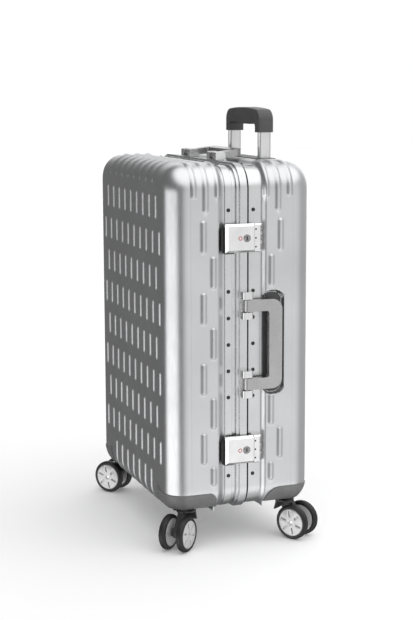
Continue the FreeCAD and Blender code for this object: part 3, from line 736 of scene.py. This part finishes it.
def build_shells():
    for name, sign, body in (("front", -1, "lid_front"), ("back", 1, "case_back")):
        bm = join([half_case(sign)] + [well_walls(sign, side) for side in (-1, 1)])
        file_mesh("ribbed_shell_" + name, bm, M["shell"], body, ["shell_" + name], 40)


build_shells()


# ---- frames ---------------------------------------------------------------------------
def build_frames():
    stops = outline_route()
    floor = -(NECK_DROP + WALL)
    low = floor - SHEET
    start = -(LID_STEP[1] - 1.0)
    lid = rounded([
        (-STRIP_DROP, start, 0.5), (-STRIP_DROP, GROOVE[0], 0.7), (floor, GROOVE[0], 0.4),
        (floor, GROOVE[1], 0.4), (-3.4, GROOVE[1], 0.8), (-3.4, -4.2, 0.25),
        (0.0, -4.2, 0.9), (0.0, SEAM, 0.9), (low, SEAM, 0.0),
        (low, start, 0.0), (floor, start, 0.0), (floor, GROOVE[0] - 1.2, 0.0),
        (-NECK_DROP, GROOVE[0] - 1.2, 0.0), (-NECK_DROP, start, 0.0),
    ], 5)
    file_mesh("lid_frame", swept(lid, stops), M["frame"], "lid_front", ["frame_front"])
    y0 = SEAM + GASKET
    y1 = BASE_STEP[1] - 0.5
    base = rounded([
        (-STRIP_DROP, y0, 0.8), (-STRIP_DROP, y1, 0.5), (-NECK_DROP, y1, 0.0),
        (-NECK_DROP, y0 + 1.8, 0.0), (floor, y0 + 1.8, 0.0), (floor, y1, 0.0), (low, y1, 0.0),
        (low, y0, 0.0),
    ], 4)
    file_mesh("base_frame", swept(base, stops), M["frame"], "case_back", ["frame_back"])
    seal = rounded([
        (-2.6, SEAM + 0.1, 0.8), (-2.6, y0 + 1.5, 0.8), (-STRIP_DROP, y0 + 1.5, 0.0),
        (-STRIP_DROP, y0, 0.0), (-8.4, y0, 0.0), (-8.4, SEAM + 0.1, 0.3),
    ], 4)
    file_mesh("frame_seal", swept(seal, stops), M["gasket"], "case_back", ["frame_gasket"])


build_frames()


# ---- rivets ---------------------------------------------------------------------------
def build_rivets():
    dome = [(0.0, 1.8), (1.3, 1.68), (2.4, 1.25), (3.1, 0.65), (3.45, 0.2), (3.5, 0.0), (1.6, -0.1),
            (1.6, -5.6), (0.0, -5.6)]
    across = (0.0, 46.0, -46.0, 92.0, -92.0, 231.0, -231.0)
    along = (0.0, 104.0, -104.0, 152.0, -152.0)
    for name, y, body in (("front", LID_RIVET_Y, "lid_front"), ("back", BASE_RIVET_Y, "case_back")):
        heads = []
        for side in (-1, 1):
            for z in across:
                if side < 0 and z == 0.0:
                    continue
                place = (side * (HALF_W - STRIP_DROP), y, MID_Z + z)
                heads.append(turned(dome, 20, facing((side, 0, 0), place)))
        for level, up in ((TOP - STRIP_DROP, 1), (BOTTOM + STRIP_DROP, -1)):
            for x in along:
                heads.append(turned(dome, 20, facing((0, 0, up), (x, y, level))))
        file_mesh("rivet_heads_" + name, join(heads), M["rivet"], body, ["rivets_" + name])


build_rivets()


# ---- hard parts that keep the CAD's shape, with rounded edges ---------------------------
def build_painted_shade_plate():
    """Dark plate on the floor of the side hand recess, painted shade standing in for the shadow inside the
    recess.
    """
    inset, level = 3.6, HALF_W - POCKET_DEPTH
    y0, y1 = SIDE_POCKET.y0 + inset, SIDE_POCKET.y1 - inset
    half = SIDE_POCKET.half_length - inset
    corner = SIDE_POCKET.radius - inset
    plate = prism(rounded([
        (y0, MID_Z - half, corner), (y1, MID_Z - half, corner),
        (y1, MID_Z + half, corner), (y0, MID_Z + half, corner),
    ], 8), level - 0.3, level + 0.35)
    for vertex in plate.verts:
        vertex.co = vertex.co.zxy
    file_mesh("hand_cup_painted_shade", plate, M["grip"], "case_back")


build_painted_shade_plate()


def build_hardware():
    soften("hinge_leaves_front", 0.35, M["steel"], "lid_front")
    soften("hinge_leaves_back", 0.35, M["steel"], "case_back")
    # The lock strikes get near-black plastic as painted shade, standing in for the shadowed hollow beside
    # each lock.
    soften("lock_strikes", 0.4, M["black"], "lid_front")
    soften("handle_brackets", 0.7, M["lug"], "case_back", segments=3)
    soften("side_handle", 3.2, M["handle"], "side_bail", segments=4)
    soften("top_handle", 2.6, M["handle"], "top_bail", segments=4)
    soften("trolley_outer_tubes", 0.0, M["tube"], "case_back")
    soften("trolley_inner_tubes", 0.0, M["tube"], "trolley")
    soften("trolley_grip", 1.2, M["grip"], "trolley", segments=3)
    soften("trolley_button", 0.8, M["button"], "grip_release")
    soften("trolley_bezel", 0.5, M["grip"], "case_back")
    for lock in ("upper", "lower"):
        soften("lock_body_" + lock, 0.5, M["lock"], "case_back", segments=3)
        soften("latch_cover_" + lock, 0.5, M["lock"], "latch_" + lock, segments=3)
        soften("key_cylinder_" + lock, 0.25, M["key"], "key_" + lock)


build_hardware()


# ---- locks' small marks and dials -------------------------------------------------------
def dial(place):
    """Number wheel with finger notches between its ten figures, axis along Z."""
    radius, half, steps = 7.0, 4.0, 120
    rows = ((radius - 2.6, -half), (radius - 0.8, -half), (radius, -half + 0.8), (radius, half - 0.8),
            (radius - 0.8, half), (radius - 2.6, half))
    verts = []
    for level, (base, offset) in enumerate(rows):
        for step in range(steps):
            angle = 2 * math.pi * step / steps
            phase = (step % 12) / 12 - 0.5
            notch = 0.5 * math.exp(-(phase / 0.13) ** 2) if 0 < level < 5 else 0.0
            r = base - notch
            verts.append((
                place[0] + r * math.cos(angle), place[1] + r * math.sin(angle), place[2] + offset,
            ))
    faces = []
    for level in range(len(rows)):
        after = (level + 1) % len(rows)
        for step in range(steps):
            n = (step + 1) % steps
            faces.append((level * steps + step, level * steps + n, after * steps + n, after * steps + step))
    bm = bm_from(verts, faces)
    bmesh.ops.recalc_face_normals(bm, faces=bm.faces)
    return bm


def build_lock_details():
    ring_profile = rounded([(3.6, 0.0, 0), (3.6, 0.25, 0.2), (2.3, 0.25, 0.2), (2.3, 0.0, 0)], 3)
    dot = [(0.0, 0.22), (1.3, 0.2), (1.6, 0.0), (1.4, -0.4), (0.0, -0.4)]
    for name in ("upper", "lower"):
        low, high = node_box("lock_body_" + name)
        middle = (low[2] + high[2]) / 2
        face = high[0]
        for number in (1, 2, 3):
            box_low, box_high = node_box(f"dial_{name}_{number}")
            centre = (box_low + box_high) / 2
            file_mesh(f"number_wheel_{name}_{number}", dial(centre), M["dial"],
                      f"number_dial_{name}_{number}", [f"dial_{name}_{number}"])
        dots = [
            turned(dot, 16, facing((1, 0, 0), (face, DOT_Y, middle + step * DOT_PITCH)))
            for step in (-1, 0, 1)
        ]
        file_mesh("index_dots_" + name, join(dots), M["black"], "case_back")
        ring = list(ring_profile) + [tuple(ring_profile[0])]
        mark = turned(ring, 40, facing((1, 0, 0), (face, RING_Y, middle)))
        file_mesh("red_ring_" + name, mark, M["red"], "latch_" + name)


build_lock_details()


# ---- corner guards and casters ----------------------------------------------------------
def blacken_slots(hub, centre, axis, outward):
    """Give the sunk faces of a hub's slots the second material."""
    axle = Vector(axis) * outward
    middle = Vector(centre) * MM
    for face in hub.faces:
        spoke = face.calc_center_median() - middle
        offset = spoke.dot(axle) / MM
        radius = (spoke - axle * spoke.dot(axle)).length / MM
        if SLOT_DEPTH[0] < offset < SLOT_DEPTH[1] and SLOT_RADIUS[0] < radius < SLOT_RADIUS[1]:
            face.material_index = 1


def build_casters():
    tyre_profile = rounded([
        (24.6, -6.3, 0), (27.6, -6.3, 0.4), (30.9, -3.4, 2.6), (31.0, 0.0, 0), (30.9, 3.4, 2.6),
        (27.6, 6.3, 0.4), (24.6, 6.3, 0),
    ], 4)
    for y, body in (("front", "lid_front"), ("back", "case_back")):
        for x in ("left", "right"):
            name = y + "_" + x
            soften("corner_guard_" + name, 0.9, M["guard"], body, segments=3)
            soften("caster_fork_" + name, 0.7, M["fork"], "caster_" + name)
            soften("caster_axle_" + name, 0.3, M["steel"], "caster_" + name)
            for letter in "ab":
                tyre = f"tyre_{name}_{letter}"
                low, high = node_box(tyre)
                centre = (low + high) / 2
                joint = next(j for j in frame["joints"] if j["name"] == f"spin_{name}_{letter}")
                loop = list(tyre_profile) + [tuple(tyre_profile[0])]
                file_mesh("rubber_" + tyre, turned(loop, 72, facing(joint["axis"], centre)), M["tyre"],
                          f"wheel_{name}_{letter}", [tyre])
                hub = soft_copy(f"hub_{name}_{letter}", 0.35)
                blacken_slots(hub, centre, joint["axis"], 1 if letter == "a" else -1)
                file_metres(f"spoked_hub_{name}_{letter}", hub, [M["hub"], M["black"]],
                            f"wheel_{name}_{letter}", [f"hub_{name}_{letter}"])


build_casters()


# ---- inside -----------------------------------------------------------------------------
def build_inside():
    soften("lining_front", 1.0, M["cloth"], "lid_front")
    soften("lining_back", 3.0, M["cloth"], "case_back")


build_inside()


# ---- floor, light and camera ------------------------------------------------------------
def build_stage():
    floor = bpy.data.meshes.new("floor")
    reach = 14.0
    floor.from_pydata([(-reach, -reach, 0), (reach, -reach, 0), (reach, reach, 0), (-reach, reach, 0)],
                      [], [(0, 1, 2, 3)])
    recipe = Recipe("floor_paint", grey(0.9), 0.0, 0.8)
    recipe.color(recipe.noise(2.0), grey(0.89), grey(0.91))
    floor.materials.append(recipe.material)
    obj = bpy.data.objects.new("floor", floor)
    bpy.context.collection.objects.link(obj)
    obj.visible_glossy = False
    recipe.shader.inputs["Emission Color"].default_value = (1, 1, 1, 1)
    recipe.shader.inputs["Emission Strength"].default_value = 0.12


def studio_world():
    """White to the camera; softboxes round a darker room for reflections and light."""
    world = bpy.data.worlds.new("studio")
    bpy.context.scene.world = world
    world.use_nodes = True
    tree = world.node_tree
    tree.nodes.clear()
    output = tree.nodes.new("ShaderNodeOutputWorld")
    view = tree.nodes.new("ShaderNodeTexCoord")

    def combine(operation, first, second):
        """Sum or product of a socket and another socket or number."""
        made = tree.nodes.new("ShaderNodeMath")
        made.operation = operation
        tree.links.new(first, made.inputs[0])
        if isinstance(second, float):
            made.inputs[1].default_value = second
        else:
            tree.links.new(second, made.inputs[1])
        return made.outputs["Value"]

    height = tree.nodes.new("ShaderNodeSeparateXYZ")
    tree.links.new(view.outputs["Generated"], height.inputs[0])
    below = tree.nodes.new("ShaderNodeMapRange")
    below.inputs["From Min"].default_value, below.inputs["From Max"].default_value = HORIZON_FADE
    tree.links.new(height.outputs["Z"], below.inputs["Value"])
    total = None
    for direction, inner, outer, strength, only_below in SOFTBOXES:
        flat = tree.nodes.new("ShaderNodeVectorMath")
        flat.operation = "DOT_PRODUCT"
        tree.links.new(view.outputs["Generated"], flat.inputs[0])
        flat.inputs[1].default_value = Vector(direction).normalized()
        spot = tree.nodes.new("ShaderNodeMapRange")
        spot.interpolation_type = "SMOOTHSTEP"
        spot.inputs["From Min"].default_value = math.cos(math.radians(outer))
        spot.inputs["From Max"].default_value = math.cos(math.radians(inner))
        spot.inputs["To Max"].default_value = strength
        tree.links.new(flat.outputs["Value"], spot.inputs["Value"])
        glow = spot.outputs["Result"]
        if only_below:
            glow = combine("MULTIPLY", glow, below.outputs["Result"])
        total = glow if total is None else combine("ADD", total, glow)
    light = tree.nodes.new("ShaderNodeBackground")
    tree.links.new(combine("ADD", total, ROOM_LIGHT), light.inputs["Strength"])
    backdrop = tree.nodes.new("ShaderNodeBackground")
    for background in (light, backdrop):
        background.inputs["Color"].default_value = (1, 1, 1, 1)
    seen = tree.nodes.new("ShaderNodeLightPath")
    mix = tree.nodes.new("ShaderNodeMixShader")
    tree.links.new(seen.outputs["Is Camera Ray"], mix.inputs["Fac"])
    tree.links.new(light.outputs["Background"], mix.inputs[1])
    tree.links.new(backdrop.outputs["Background"], mix.inputs[2])
    tree.links.new(mix.outputs["Shader"], output.inputs["Surface"])


def toward(azimuth, elevation):
    """Direction at an angle from +X round to +Y, and above the floor, in degrees."""
    a, e = math.radians(azimuth), math.radians(elevation)
    return (math.cos(a) * math.cos(e), math.sin(a) * math.cos(e), math.sin(e))


ROOM_LIGHT = 0.19
HORIZON_FADE = (0.05, -0.07)    # sine of the elevation where a low softbox starts and is full
CAMERA_ANGLES = (69.77, 9.11, -0.16)   # yaw, pitch and roll in degrees
CAMERA_PLACE = (2.401, -0.872, 0.796)  # metres
CAMERA_LENS = 81.1             # millimetres
# direction, full inside this angle, gone outside this one, strength, only below the horizon
SOFTBOXES = (
    (toward(20, 68), 34, 58, 1.45, False),
    (toward(-80, -20), 28, 46, 1.75, True),
    (toward(24, -16), 14, 50, 0.75, False),
    (toward(150, 20), 10, 40, 0.9, False),
    (toward(100, 10), 20, 60, 0.4, False),
    (toward(20, -55), 20, 48, 0.5, True),
)


def build_camera():
    """Camera at the photo's angle."""
    yaw, pitch, roll = map(math.radians, CAMERA_ANGLES)
    back = Vector((math.sin(yaw) * math.cos(pitch), -math.cos(yaw) * math.cos(pitch), math.sin(pitch)))
    right = Vector((0, 0, 1)).cross(back).normalized()
    up = back.cross(right)
    right, up = (right * math.cos(roll) + up * math.sin(roll),
                 up * math.cos(roll) - right * math.sin(roll))
    data = bpy.data.cameras.new("camera")
    data.lens = CAMERA_LENS
    obj = bpy.data.objects.new("camera", data)
    turn = Matrix((right, up, back)).transposed().to_4x4()
    obj.matrix_world = Matrix.Translation(CAMERA_PLACE) @ turn
    bpy.context.collection.objects.link(obj)
    bpy.context.scene.camera = obj


bpy.context.scene.view_settings.view_transform = "Standard"
build_stage()
studio_world()
build_camera()
